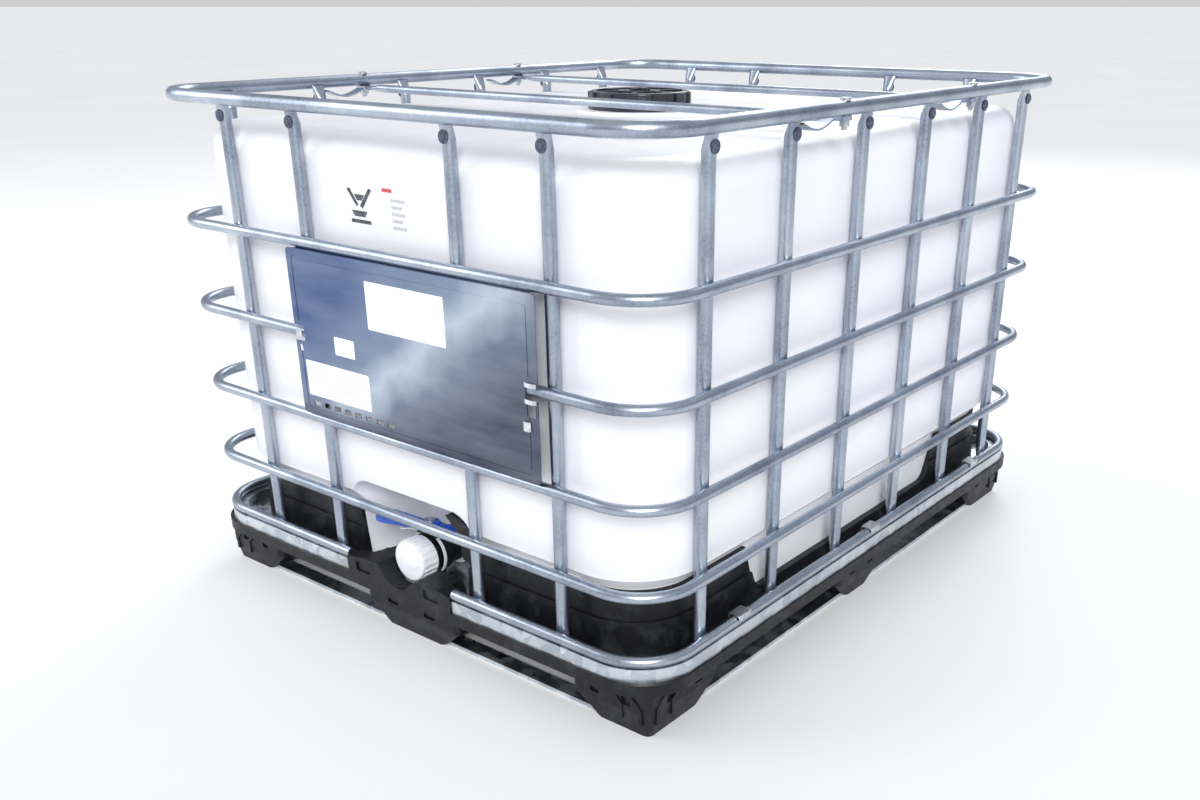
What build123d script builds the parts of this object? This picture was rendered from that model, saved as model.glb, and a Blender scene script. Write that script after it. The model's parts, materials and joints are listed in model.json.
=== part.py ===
from build123d import *
import math
import os

# Intermediate bulk container: a blow-moulded bottle in a galvanised tube cage on a
# steel and plastic pallet.  Millimetres, +Z up, origin on the ground under the middle
# of the pallet.  X is the width, Y is the depth, and the outlet valve faces -Y.

os.makedirs("parts", exist_ok=True)

# ---- driving dimensions -------------------------------------------------------------
WIDTH = 1000.0
DEPTH = 1200.0

# heights above the ground
RUNNER_TOP = 6.0
FOOT_TOP = 68.0
BEAM_TOP = 86.0
DECK_TOP = 89.0
BAND_TOP = 106.0
RAIL_Z = 114.0
RING_Z = (210.0, 333.0, 465.0, 599.0)
RIM_Z = 787.0

# cage tubes
RIM_R = 10.0
RING_R = 8.0
UPRIGHT_R = 9.0
BAR_R = 6.5
CAGE_X = WIDTH / 2 - RIM_R
CAGE_Y = DEPTH / 2 - RIM_R
CAGE_CORNER = 85.0
NEST = 15.0
PINCH = 24.0
FRONT_UPRIGHT_X = (-322.0, -157.0, 157.0, 322.0)
SIDE_UPRIGHT_Y = (-464.0, -285.0, -96.0, 96.0, 285.0, 464.0)
CROSSBAR_Y = (-178.0, 216.0)

# pallet
FOOT_INSET = 22.0
FOOT_X = 140.0
FOOT_Y = 160.0
MIDDLE_FOOT = 150.0
VALVE_FOOT = 210.0
SOLE_OUT = 6.0
SOLE_IN = 40.0
BEAM_WIDTH = 70.0
CROSS_BEAM = 110.0
RUNNER_WIDTH = 26.0
RUNNER_INSET = 36.0
BAND_HALF_X = 497.0
BAND_HALF_Y = 597.0
BAND_CORNER = 92.0
BAND_WIDTH = 26.0
BAND_WALL = 3.0
VALVE_GAP = 118.0

# bottle and its tray
BOTTLE_X = 463.0
BOTTLE_Y = 563.0
BOTTLE_CORNER = 110.0
BOTTLE_STEP = 20.0
BOTTLE_BOTTOM = 93.0
BOTTLE_WAIST = 190.0
BOTTLE_TOP = 748.0
SHOULDER = 42.0
WALL = 3.0
NECK_R = 74.0
NECK_BORE = 68.0
NECK_TOP = 770.0
PAD_TOP = 752.0
TRAY_FIT = 0.4
TRAY_WALL = 5.6
TRAY_FLARE = 6.5
TRAY_STEP_Z = 142.0
TRAY_TOP = 188.0

# fill cap
CAP_R = 86.0
CAP_BOTTOM = 752.0
CAP_TOP = 780.0
CAP_PLATE = 7.0
GASKET = 3.0

# outlet valve, on an axis along Y
AXIS_Z = 127.0
RECESS_BACK = -440.0
OUTLET_R = 31.0
OUTLET_BORE = 24.5
SPIGOT_END = -465.0
FLANGE_FACE = -465.0
BODY_END = -540.0
SPOUT_END = -558.0
CAP_FRONT = -576.0
OUTLET_CAP_R = 34.0
STEM_Y = -524.0
STEM_R = 6.0
LEVER_BOTTOM = 166.0
LEVER_THICK = 8.0
LEVER_TURN = 10.0


# ---- shared helpers -----------------------------------------------------------------
def save(piece, name):
    """Label a finished piece and write it as its own file."""
    piece.part.label = name
    export_step(piece.part, "parts/" + name + ".step")


def loop_tube(half_x, half_y, corner, z, radius):
    """Round bar bent to a closed rounded rectangle at height z."""
    with BuildPart() as tube:
        with BuildLine(Plane.XY.offset(z)) as path:
            FilletPolyline(
                (half_x, -half_y),
                (half_x, half_y),
                (-half_x, half_y),
                (-half_x, -half_y),
                radius=corner,
                close=True,
            )
        start = path.wires()[0]
        with BuildSketch(Plane(origin=start @ 0, z_dir=start % 0)):
            Circle(radius)
        sweep(path=start)
    return tube


def frame_ring(outer_x, outer_y, corner, width, z0, z1):
    """Flat rounded-rectangle ring with the given band width."""
    with BuildPart() as ring:
        with BuildSketch(Plane.XY.offset(z0)):
            RectangleRounded(2 * outer_x, 2 * outer_y, corner)
            RectangleRounded(
                2 * (outer_x - width),
                2 * (outer_y - width),
                corner - width,
                mode=Mode.SUBTRACT,
            )
        extrude(amount=z1 - z0)
    return ring


def along_y(x, z, y0):
    """Plane facing -Y at the given depth, its local X along +X and local Y along +Z."""
    return Plane(origin=(x, y0, z), x_dir=(1, 0, 0), z_dir=(0, -1, 0))


# ---- pallet -------------------------------------------------------------------------
def sole(mid, size, side):
    """Middle and length of a foot's sole along one axis: inner flanks slope, outer ones hardly."""
    low = mid - size / 2 + (SOLE_OUT if side < 0 else SOLE_IN)
    high = mid + size / 2 - (SOLE_OUT if side > 0 else SOLE_IN)
    return (low + high) / 2, high - low


def tapered_foot(x, y, size_x, size_y, dir_x, dir_y):
    """Moulded block that narrows to its sole, ribbed on its outer faces."""
    sole_x, sole_wide = sole(x, size_x, dir_x)
    sole_y, sole_long = sole(y, size_y, dir_y)
    with BuildPart() as foot:
        with BuildSketch(Plane.XY.offset(34.0)):
            with Locations((x, y)):
                RectangleRounded(size_x, size_y, 10.0)
        extrude(amount=FOOT_TOP - 34.0)
        with BuildSketch(Plane.XY.offset(34.0)):
            with Locations((x, y)):
                RectangleRounded(size_x, size_y, 10.0)
        with BuildSketch():
            with Locations((sole_x, sole_y)):
                RectangleRounded(sole_wide, sole_long, 10.0)
        loft()
        # ribs: upright grooves in each outer face
        if dir_y:
            with Locations(*[(x + k * size_x / 5, y + dir_y * size_y / 2, 50.0) for k in (-1, 1)]):
                Box(size_x / 9, 6.0, 16.0, mode=Mode.SUBTRACT)
        if dir_x:
            with Locations(*[(x + dir_x * size_x / 2, y + k * size_y / 5, 50.0) for k in (-1, 1)]):
                Box(6.0, size_y / 9, 16.0, mode=Mode.SUBTRACT)
        # clearance groove for the steel runner
        add(runner_ring(0.3).part, mode=Mode.SUBTRACT)
    return foot


def runner_ring(grow):
    """Flat steel strip on the ground, just inside the outer faces of the feet."""
    half_x = WIDTH / 2 - RUNNER_INSET
    half_y = DEPTH / 2 - RUNNER_INSET
    with BuildPart() as runner:
        with BuildSketch():
            RectangleRounded(2 * (half_x + grow), 2 * (half_y + grow), 40.0)
            RectangleRounded(
                2 * (half_x - RUNNER_WIDTH - grow),
                2 * (half_y - RUNNER_WIDTH - grow),
                40.0 - RUNNER_WIDTH,
                mode=Mode.SUBTRACT,
            )
            Rectangle(RUNNER_WIDTH + 2 * grow, 2 * (half_y - 10.0))
        extrude(amount=RUNNER_TOP)
    return runner


def pallet_base():
    """Moulded grid of beams that ties the feet together under the steel deck."""
    with BuildPart() as base:
        with BuildSketch(Plane.XY.offset(FOOT_TOP)):
            RectangleRounded(WIDTH, DEPTH, BAND_CORNER - 8.0)
            RectangleRounded(
                WIDTH - 2 * BEAM_WIDTH, DEPTH - 2 * BEAM_WIDTH, 12.0, mode=Mode.SUBTRACT
            )
            Rectangle(CROSS_BEAM, DEPTH - BEAM_WIDTH)
            Rectangle(WIDTH - BEAM_WIDTH, CROSS_BEAM)
        extrude(amount=BEAM_TOP - FOOT_TOP)
    return base


def pallet_band():
    """Pressed steel edge channel, open below, cut away in front of the valve."""
    with BuildPart() as band:
        add(frame_ring(BAND_HALF_X, BAND_HALF_Y, BAND_CORNER, BAND_WIDTH, BEAM_TOP, BAND_TOP).part)
        add(
            frame_ring(
                BAND_HALF_X - BAND_WALL,
                BAND_HALF_Y - BAND_WALL,
                BAND_CORNER - BAND_WALL,
                BAND_WIDTH - 2 * BAND_WALL,
                BEAM_TOP,
                BAND_TOP - BAND_WALL,
            ).part,
            mode=Mode.SUBTRACT,
        )
        with Locations((0, -DEPTH / 2 + 12.0, BAND_TOP)):
            Box(2 * VALVE_GAP, 60.0, 60.0, mode=Mode.SUBTRACT)
    return band


def deck_plate():
    """Galvanised sheet under the bottle, with two stiffening beads round its border."""
    half_x = BAND_HALF_X - BAND_WIDTH - 0.5
    half_y = BAND_HALF_Y - BAND_WIDTH - 0.5
    corner = BAND_CORNER - BAND_WIDTH
    with BuildPart() as deck:
        with BuildSketch(Plane.XY.offset(BEAM_TOP)):
            RectangleRounded(2 * half_x, 2 * half_y, corner)
        extrude(amount=DECK_TOP - BEAM_TOP)
        add(frame_ring(half_x - 3.0, half_y - 3.0, corner - 3.0, 4.0, DECK_TOP, DECK_TOP + 2.0).part)
        add(frame_ring(half_x - 10.0, half_y - 10.0, corner - 10.0, 4.0, DECK_TOP, DECK_TOP + 2.0).part)
        with Locations((0, -half_y, DECK_TOP + 5.0)):
            Box(2 * VALVE_GAP, 50.0, 10.0, mode=Mode.SUBTRACT)
    return deck


def foot_bolts():
    """Hex bolts through the deck border into the beams at each side foot."""
    spots = [
        (sx * 462.0, sy * 430.0) for sx in (-1, 1) for sy in (-1, 1)
    ]
    with BuildPart() as bolts:
        with BuildSketch(Plane.XY.offset(DECK_TOP)):
            with Locations(*spots):
                RegularPolygon(6.0, 6)
        extrude(amount=5.0)
        with BuildSketch(Plane.XY.offset(BEAM_TOP - 12.0)):
            with Locations(*spots):
                Circle(3.0)
        extrude(amount=12.0 + DECK_TOP - BEAM_TOP)
    return bolts, spots


# ---- cage ---------------------------------------------------------------------------
def bottom_rail():
    """Lowest tube of the cage, open in front where the valve guard stands."""
    with BuildPart() as rail:
        with BuildLine(Plane.XY.offset(RAIL_Z)) as path:
            FilletPolyline(
                (VALVE_GAP, -CAGE_Y),
                (CAGE_X, -CAGE_Y),
                (CAGE_X, CAGE_Y),
                (-CAGE_X, CAGE_Y),
                (-CAGE_X, -CAGE_Y),
                (-VALVE_GAP, -CAGE_Y),
                radius=CAGE_CORNER,
            )
        start = path.wires()[0]
        with BuildSketch(Plane(origin=start @ 0, z_dir=start % 0)):
            Circle(RING_R)
        sweep(path=start)
    return rail


def upright(x, y, out, loops):
    """Vertical tube inside the rings: pinched flat at both ends, dented at each ring."""
    low = BAND_TOP
    high = RIM_Z - 4.0
    side = Vector(-out[1], out[0], 0)
    with BuildPart() as bar:
        for z, radial in ((low, 1.0), (high, 6.0)):
            origin = (x + out[0] * radial, y + out[1] * radial, z)
            with BuildSketch(Plane(origin=origin, x_dir=side, z_dir=(0, 0, 1))):
                Ellipse(12.5, 4.5)
            inner = z + PINCH if z == low else z - PINCH
            with BuildSketch(Plane(origin=(x, y, inner), x_dir=side, z_dir=(0, 0, 1))):
                Circle(UPRIGHT_R)
            loft()
        with BuildSketch(Plane(origin=(x, y, low + PINCH), x_dir=side, z_dir=(0, 0, 1))):
            Circle(UPRIGHT_R)
        extrude(amount=high - low - 2 * PINCH)
        for loop in loops:
            add(loop, mode=Mode.SUBTRACT)
    return bar


def crossbar(y):
    """Tube over the bottle from rim to rim, its flattened ends lying under the rim."""
    reach = CAGE_X - 26.0
    z = RIM_Z - RIM_R - 3.0
    with BuildPart() as bar:
        with BuildSketch(Plane(origin=(-reach + 20.0, y, z), x_dir=(0, 1, 0), z_dir=(1, 0, 0))):
            Circle(BAR_R)
        extrude(amount=2 * reach - 40.0)
        for sign in (-1, 1):
            with BuildSketch(Plane(origin=(sign * (reach - 20.0), y, z), x_dir=(0, 1, 0), z_dir=(1, 0, 0))):
                Circle(BAR_R)
            with BuildSketch(Plane(origin=(sign * reach, y, z), x_dir=(0, 1, 0), z_dir=(1, 0, 0))):
                Ellipse(11.0, 3.0)
            loft()
            with Locations((sign * (reach + 14.0), y, z)):
                Box(34.0, 22.0, 6.0)
            with Locations((sign * CAGE_X, y, z)):
                Cylinder(4.05, 20.0, mode=Mode.SUBTRACT)
    return bar


def crossbars():
    """Front and rear crossbar, alike."""
    with BuildPart() as bars:
        for y in CROSSBAR_Y:
            add(crossbar(y).part)
    return bars


def crossbar_bolts():
    """Carriage bolts down through the rim and the crossbar ends, with nuts below."""
    spots = [(sx * CAGE_X, y) for sx in (-1, 1) for y in CROSSBAR_Y]
    nut_top = RIM_Z - RIM_R - 6.0
    with BuildPart() as bolts:
        with BuildSketch(Plane.XY.offset(nut_top - 12.0)):
            with Locations(*spots):
                Circle(4.0)
        extrude(amount=RIM_Z + RIM_R - nut_top + 12.0)
        with BuildSketch(Plane.XY.offset(nut_top - 7.0)):
            with Locations(*spots):
                RegularPolygon(7.5, 6)
        extrude(amount=7.0)
        with BuildSketch(Plane.XY.offset(RIM_Z + RIM_R - 0.8)):
            with Locations(*spots):
                Circle(7.5)
        extrude(amount=3.8)
    return bolts


def cage_clamps():
    """Folded straps that hold the bottom rail down on the pallet band."""
    spots = [(sx, y) for sx in (-1, 1) for y in (-385.0, 0.0, 385.0)]
    with BuildPart() as clamps:
        for sx, y in spots:
            with BuildSketch(Plane(origin=(0, y - 15.0, 0), x_dir=(1, 0, 0), z_dir=(0, -1, 0))):
                with BuildLine():
                    x0 = sx * (CAGE_X - RING_R - 10.2)
                    x1 = sx * (CAGE_X - RING_R - 0.3)
                    x2 = sx * (CAGE_X + RING_R + 0.9)
                    top = RAIL_Z + RING_R
                    Polyline(
                        (x0, BAND_TOP),
                        (x0, BAND_TOP + 2.0),
                        (x1 - sx * 2.0, BAND_TOP + 2.0),
                        (x1 - sx * 2.0, top + 2.3),
                        (x2, top + 2.3),
                        (x2, top - 6.0),
                        (x2 - sx * 0.6, top - 6.0),
                        (x2 - sx * 0.6, top + 0.3),
                        (x1, top + 0.3),
                        (x1, BAND_TOP),
                        close=True,
                    )
                make_face()
            extrude(amount=-30.0)
    return clamps


PLATE_X0 = -180.0
PLATE_X1 = 315.0
PLATE_Z0 = RING_Z[1] + RING_R
PLATE_Z1 = RING_Z[3] - RING_R
PLATE_FACE = -DEPTH / 2 + 0.3
PLATE_THICK = 1.6
PLATE_BACK = PLATE_FACE + PLATE_THICK


def label_plate():
    """Galvanised sign plate: returned top and bottom edges, pressed border, cut-outs."""
    wide = PLATE_X1 - PLATE_X0
    tall = PLATE_Z1 - PLATE_Z0
    mid = ((PLATE_X0 + PLATE_X1) / 2, (PLATE_Z0 + PLATE_Z1) / 2)
    with BuildPart() as plate:
        with BuildSketch(along_y(mid[0], mid[1], PLATE_BACK)):
            RectangleRounded(wide, tall, 6.0)
            # notches where the second ring passes through the plate's ends
            with Locations((wide / 2, RING_Z[2] - mid[1]), (-wide / 2, RING_Z[2] - mid[1])):
                RectangleRounded(44.0, 24.0, 4.0, mode=Mode.SUBTRACT)
            # small hook holes under both notches
            with Locations((wide / 2 - 12.0, RING_Z[2] - mid[1] - 26.0)):
                RectangleRounded(15.0, 18.0, 2.0, mode=Mode.SUBTRACT)
            with Locations((-wide / 2 + 10.0, RING_Z[2] - mid[1] - 22.0)):
                RectangleRounded(8.0, 10.0, 2.0, mode=Mode.SUBTRACT)
            # row of slots in the lower left corner
            with Locations(*[(-wide / 2 + 34.0 + 24.0 * k, -tall / 2 + 19.0) for k in range(8)]):
                RectangleRounded(15.0, 8.0, 2.0, mode=Mode.SUBTRACT)
        extrude(amount=PLATE_THICK)
        # pressed border line
        with BuildSketch(along_y(mid[0], mid[1], PLATE_FACE + 0.7)):
            RectangleRounded(wide - 22.0, tall - 20.0, 8.0)
            RectangleRounded(wide - 32.0, tall - 30.0, 5.0, mode=Mode.SUBTRACT)
            with Locations((wide / 2 - 16.0, RING_Z[2] - mid[1]), (-wide / 2 + 16.0, RING_Z[2] - mid[1])):
                Rectangle(44.0, 40.0, mode=Mode.SUBTRACT)
        extrude(amount=0.7, mode=Mode.SUBTRACT)
        # edges folded back onto the rings above and below
        for z in (PLATE_Z0 + 0.8, PLATE_Z1 - 0.8):
            with Locations((mid[0], PLATE_FACE + 6.8, z)):
                Box(wide - 30.0, 12.4, 1.6)
    return plate


def plate_labels():
    """Three plain white stickers on the sign plate."""
    with BuildPart() as labels:
        for x, z, w, h in ((72.0, 530.0, 158.0, 68.0), (-66.0, 459.0, 44.0, 27.0), (-90.0, 399.0, 144.0, 54.0)):
            with BuildSketch(along_y(x, z, PLATE_FACE)):
                RectangleRounded(w, h, 2.0)
            extrude(amount=0.3)
    return labels


# ---- bottle -------------------------------------------------------------------------
def bottle_block(inset):
    """Solid form of the bottle, drawn in by the inset: narrow base, wide body, shoulder."""
    with BuildPart() as block:
        with BuildSketch(Plane.XY.offset(BOTTLE_BOTTOM + inset)):
            RectangleRounded(
                2 * (BOTTLE_X - BOTTLE_STEP - inset),
                2 * (BOTTLE_Y - BOTTLE_STEP - inset),
                BOTTLE_CORNER - BOTTLE_STEP - inset,
            )
        extrude(amount=BOTTLE_WAIST - BOTTLE_BOTTOM)
        with BuildSketch(Plane.XY.offset(BOTTLE_WAIST + inset)):
            RectangleRounded(
                2 * (BOTTLE_X - BOTTLE_STEP - inset),
                2 * (BOTTLE_Y - BOTTLE_STEP - inset),
                BOTTLE_CORNER - BOTTLE_STEP - inset,
            )
        with BuildSketch(Plane.XY.offset(BOTTLE_WAIST + BOTTLE_STEP + inset)):
            RectangleRounded(
                2 * (BOTTLE_X - inset), 2 * (BOTTLE_Y - inset), BOTTLE_CORNER - inset
            )
        loft()
        with BuildSketch(Plane.XY.offset(BOTTLE_WAIST + BOTTLE_STEP + inset)):
            RectangleRounded(
                2 * (BOTTLE_X - inset), 2 * (BOTTLE_Y - inset), BOTTLE_CORNER - inset
            )
        extrude(amount=BOTTLE_TOP - BOTTLE_WAIST - BOTTLE_STEP - 2 * inset)
        fillet(block.edges().group_by(Axis.Z)[-1], SHOULDER - inset)
    return block


def valve_recess(grow):
    """Sloping pocket in the front of the bottle that makes room for the valve."""
    with BuildPart() as pocket:
        with BuildSketch(along_y(0, 150.0, -DEPTH / 2)):
            RectangleRounded(2 * (148.0 + grow), 2 * (92.0 + grow), 40.0)
        with BuildSketch(along_y(0, 130.0, RECESS_BACK + grow)):
            RectangleRounded(2 * (100.0 + grow), 2 * (74.0 + grow), 40.0)
        loft()
    return pocket


def bottle():
    """Thin-walled bottle with its filling hole on top and outlet spigot in the pocket."""
    with BuildPart() as shell:
        add(bottle_block(0).part)
        add(valve_recess(0).part, mode=Mode.SUBTRACT)
        # raised pad that the filling neck is welded to
        with BuildSketch(Plane.XY.offset(BOTTLE_TOP - 6.0)):
            Circle(112.0)
        extrude(amount=PAD_TOP - BOTTLE_TOP + 6.0, taper=20)
        # outlet spigot
        with BuildSketch(along_y(0, AXIS_Z, RECESS_BACK + 2.0)):
            Circle(OUTLET_R)
        extrude(amount=RECESS_BACK + 2.0 - SPIGOT_END)
        # hollow inside
        with BuildPart(mode=Mode.PRIVATE) as hollow:
            add(bottle_block(WALL).part)
            add(valve_recess(WALL).part, mode=Mode.SUBTRACT)
        add(hollow.part, mode=Mode.SUBTRACT)
        with Locations((0, 0, BOTTLE_TOP)):
            Cylinder(NECK_BORE, 90.0, mode=Mode.SUBTRACT)
        with BuildSketch(along_y(0, AXIS_Z, RECESS_BACK + 20.0)):
            Circle(OUTLET_BORE)
        extrude(amount=60.0, mode=Mode.SUBTRACT)
    return shell


def fill_neck():
    """Threaded collar on the bottle's pad, with two screw rings."""
    with BuildPart() as neck:
        with BuildSketch(Plane.XY.offset(PAD_TOP)):
            Circle(NECK_R)
        extrude(amount=NECK_TOP - PAD_TOP)
        for z in (757.0, 765.0):
            with Locations((0, 0, z)):
                Cylinder(NECK_R + 1.8, 2.5)
        with Locations((0, 0, NECK_TOP)):
            Cylinder(NECK_BORE, 60.0, mode=Mode.SUBTRACT)
    return neck


def bottle_tray():
    """Moulded tray that cradles the base: high at the corners, low along the sides."""
    inner_x = BOTTLE_X - BOTTLE_STEP + TRAY_FIT
    inner_y = BOTTLE_Y - BOTTLE_STEP + TRAY_FIT
    corner = BOTTLE_CORNER - BOTTLE_STEP + TRAY_FIT
    with BuildPart() as tray:
        with BuildSketch(Plane.XY.offset(DECK_TOP)):
            RectangleRounded(
                2 * (inner_x + TRAY_WALL + TRAY_FLARE),
                2 * (inner_y + TRAY_WALL + TRAY_FLARE),
                corner + TRAY_WALL + TRAY_FLARE,
            )
        with BuildSketch(Plane.XY.offset(TRAY_STEP_Z)):
            RectangleRounded(
                2 * (inner_x + TRAY_WALL + 4.0),
                2 * (inner_y + TRAY_WALL + 4.0),
                corner + TRAY_WALL + 4.0,
            )
        loft()
        with BuildSketch(Plane.XY.offset(TRAY_STEP_Z)):
            RectangleRounded(
                2 * (inner_x + TRAY_WALL), 2 * (inner_y + TRAY_WALL), corner + TRAY_WALL
            )
        extrude(amount=TRAY_TOP - TRAY_STEP_Z)
        with BuildSketch(Plane.XY.offset(BOTTLE_BOTTOM)):
            RectangleRounded(2 * inner_x, 2 * inner_y, corner)
        extrude(amount=TRAY_TOP, mode=Mode.SUBTRACT)
        # long low openings in both sides and the back
        side_cut = [(-330.0, 230.0), (-290.0, 112.0), (270.0, 112.0), (330.0, 230.0)]
        with BuildSketch(Plane(origin=(-WIDTH / 2, 0, 0), x_dir=(0, 1, 0), z_dir=(1, 0, 0))) as cut:
            with BuildLine():
                Polyline(*side_cut, close=True)
            make_face()
            fillet(cut.vertices().group_by(Axis.Z)[0], 26.0)
        extrude(amount=WIDTH, mode=Mode.SUBTRACT)
        with BuildSketch(along_y(0, 0, DEPTH / 2)) as back_cut:
            with BuildLine():
                Polyline((-215.0, 230.0), (-180.0, 120.0), (180.0, 120.0), (215.0, 230.0), close=True)
            make_face()
            fillet(back_cut.vertices().group_by(Axis.Z)[0], 26.0)
        extrude(amount=200.0, mode=Mode.SUBTRACT)
        # notch round the valve, open to the deck, with its floor cut back
        with BuildSketch(along_y(0, 0, -360.0)) as notch:
            with BuildLine():
                Polyline((-142.0, 230.0), (-122.0, 60.0), (112.0, 60.0), (112.0, 230.0), close=True)
            make_face()
        extrude(amount=300.0, mode=Mode.SUBTRACT)
        # front wall dips a little between each corner and the valve
        with BuildSketch(along_y(0, 0, -480.0)) as dips:
            for sign in (-1, 1):
                with BuildLine():
                    Polyline(
                        (sign * 170.0, TRAY_TOP + 9.0),
                        (sign * 195.0, TRAY_TOP - 16.0),
                        (sign * 300.0, TRAY_TOP - 16.0),
                        (sign * 352.0, TRAY_TOP + 9.0),
                        close=True,
                    )
                make_face()
        extrude(amount=120.0, mode=Mode.SUBTRACT)
        # horn that rises from the notch's edge into the valve pocket
        with BuildSketch(along_y(0, 0, -inner_y)) as horn:
            with BuildLine():
                Polyline(
                    (111.0, 150.0),
                    (125.0, 150.0),
                    (125.0, TRAY_TOP),
                    (120.0, 203.0),
                    (76.0, 221.0),
                    (64.0, 214.0),
                    (90.0, 193.0),
                    (98.0, 150.0),
                    close=True,
                )
            make_face()
        extrude(amount=TRAY_WALL)
    return tray


# ---- fill cap -----------------------------------------------------------------------
def fill_cap():
    """Screw cap with grip lugs round its rim, a sunken top and a threaded vent boss."""
    with BuildPart() as cap:
        with BuildSketch(Plane.XY.offset(CAP_BOTTOM)):
            Circle(CAP_R - 4.0)
        extrude(amount=CAP_TOP - CAP_BOTTOM)
        with BuildSketch(Plane.XY.offset(CAP_BOTTOM)):
            Circle(CAP_R)
        extrude(amount=10.0)
        fillet(cap.edges().group_by(Axis.Z)[-1], 3.0)
        with BuildSketch(Plane.XY.offset(CAP_BOTTOM + 3.0)):
            with PolarLocations(CAP_R - 5.0, 12):
                RectangleRounded(10.0, 20.0, 2.0)
        extrude(amount=CAP_TOP - CAP_BOTTOM - 5.0)
        # sunken ring in the top
        with BuildSketch(Plane.XY.offset(CAP_TOP - 3.0)):
            Circle(CAP_R - 14.0)
            Circle(34.0, mode=Mode.SUBTRACT)
        extrude(amount=3.0, mode=Mode.SUBTRACT)
        # spanner ribs across the sunken ring
        with BuildSketch(Plane.XY.offset(CAP_TOP - 3.0)):
            with PolarLocations(52.0, 6):
                Rectangle(40.0, 8.0)
        extrude(amount=3.0)
        # inside of the skirt
        with BuildSketch(Plane.XY.offset(CAP_BOTTOM - 1.0)):
            Circle(NECK_R + 2.4)
        extrude(amount=CAP_TOP - CAP_PLATE - CAP_BOTTOM + 1.0, mode=Mode.SUBTRACT)
        # hole for the vent plug
        with Locations((0, 0, CAP_TOP)):
            Cylinder(20.0, 4.0 * CAP_PLATE, mode=Mode.SUBTRACT)
            Cylinder(27.0, 5.0, mode=Mode.SUBTRACT)
    return cap


def cap_gasket():
    """Flat ring between the neck and the underside of the cap."""
    with BuildPart() as ring:
        with BuildSketch(Plane.XY.offset(NECK_TOP)):
            Circle(NECK_R)
            Circle(NECK_BORE - 3.0, mode=Mode.SUBTRACT)
        extrude(amount=CAP_TOP - CAP_PLATE - NECK_TOP)
    return ring


def vent_plug():
    """Small screwed plug with a cross grip in the middle of the fill cap."""
    with BuildPart() as plug:
        with BuildSketch(Plane.XY.offset(CAP_TOP - CAP_PLATE)):
            Circle(19.7)
        extrude(amount=CAP_PLATE - 2.5)
        with BuildSketch(Plane.XY.offset(CAP_TOP - 2.2)):
            Circle(26.6)
        extrude(amount=2.7)
        with BuildSketch(Plane.XY.offset(CAP_TOP - 2.5)):
            Circle(19.7)
        extrude(amount=2.0)
        with BuildSketch(Plane.XY.offset(CAP_TOP + 0.5)):
            Rectangle(40.0, 6.0)
            Rectangle(6.0, 40.0)
        extrude(amount=3.0)
    return plug


# ---- outlet valve -------------------------------------------------------------------
def valve_nut():
    """Union nut that draws the valve flange onto the bottle's spigot."""
    with BuildPart() as nut:
        with BuildSketch(along_y(0, AXIS_Z, -446.0)):
            Circle(35.0)
            with PolarLocations(34.0, 10):
                Rectangle(5.0, 8.0)
            Circle(OUTLET_R + 0.3, mode=Mode.SUBTRACT)
        extrude(amount=29.0)
        with BuildSketch(along_y(0, AXIS_Z, -475.0)):
            Circle(35.0)
            Circle(29.2, mode=Mode.SUBTRACT)
        extrude(amount=3.0)
    return nut


def valve_body():
    """Straight-bore body: flange, barrel, threaded spout and the stem tower on top."""
    with BuildPart() as body:
        with BuildSketch(along_y(0, AXIS_Z, FLANGE_FACE)):
            Circle(OUTLET_R - 0.2)
        extrude(amount=9.8)
        with BuildSketch(along_y(0, AXIS_Z, FLANGE_FACE)):
            Circle(29.0)
        extrude(amount=FLANGE_FACE - BODY_END)
        with BuildSketch(along_y(0, AXIS_Z, BODY_END + 5.0)):
            Circle(33.0)
        extrude(amount=5.0)
        with BuildSketch(along_y(0, AXIS_Z, BODY_END)):
            Circle(29.0)
        extrude(amount=BODY_END - SPOUT_END)
        # reinforced middle and stem tower
        with BuildSketch(along_y(0, AXIS_Z, STEM_Y + 15.0)):
            Circle(33.0)
        extrude(amount=20.0)
        with BuildSketch(Plane.XY.offset(AXIS_Z)):
            with Locations((0, STEM_Y)):
                Circle(13.0)
        extrude(amount=LEVER_BOTTOM - 0.4 - AXIS_Z)
        with BuildSketch(Plane.XY.offset(LEVER_BOTTOM - 8.0)):
            with Locations((0, STEM_Y)):
                Rectangle(44.0, 20.0)
        extrude(amount=4.0)
        # foot that rests the barrel on the deck
        with BuildSketch(Plane.XY.offset(DECK_TOP)):
            with Locations((0, STEM_Y)):
                Rectangle(30.0, 24.0)
        extrude(amount=AXIS_Z - DECK_TOP - 4.0)
        # bore, stem hole and lower pivot pocket
        with BuildSketch(along_y(0, AXIS_Z, FLANGE_FACE + 1.0)):
            Circle(OUTLET_BORE)
        extrude(amount=FLANGE_FACE + 1.0 - SPOUT_END + 1.0, mode=Mode.SUBTRACT)
        with Locations((0, STEM_Y, AXIS_Z + 30.0)):
            Cylinder(STEM_R + 0.05, 60.0, mode=Mode.SUBTRACT)
        with Locations((0, STEM_Y, AXIS_Z - OUTLET_BORE)):
            Cylinder(STEM_R + 0.05, 8.0, mode=Mode.SUBTRACT)
    return body


def valve_disc():
    """Butterfly disc that closes the bore, on a boss bored for the stem."""
    with BuildPart() as disc:
        with BuildSketch(along_y(0, AXIS_Z, STEM_Y + 2.5)):
            Circle(24.0)
        extrude(amount=5.0)
        with Locations((0, STEM_Y, AXIS_Z)):
            Cylinder(9.5, 38.0)
            Cylinder(STEM_R, 60.0, mode=Mode.SUBTRACT)
    return disc


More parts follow.
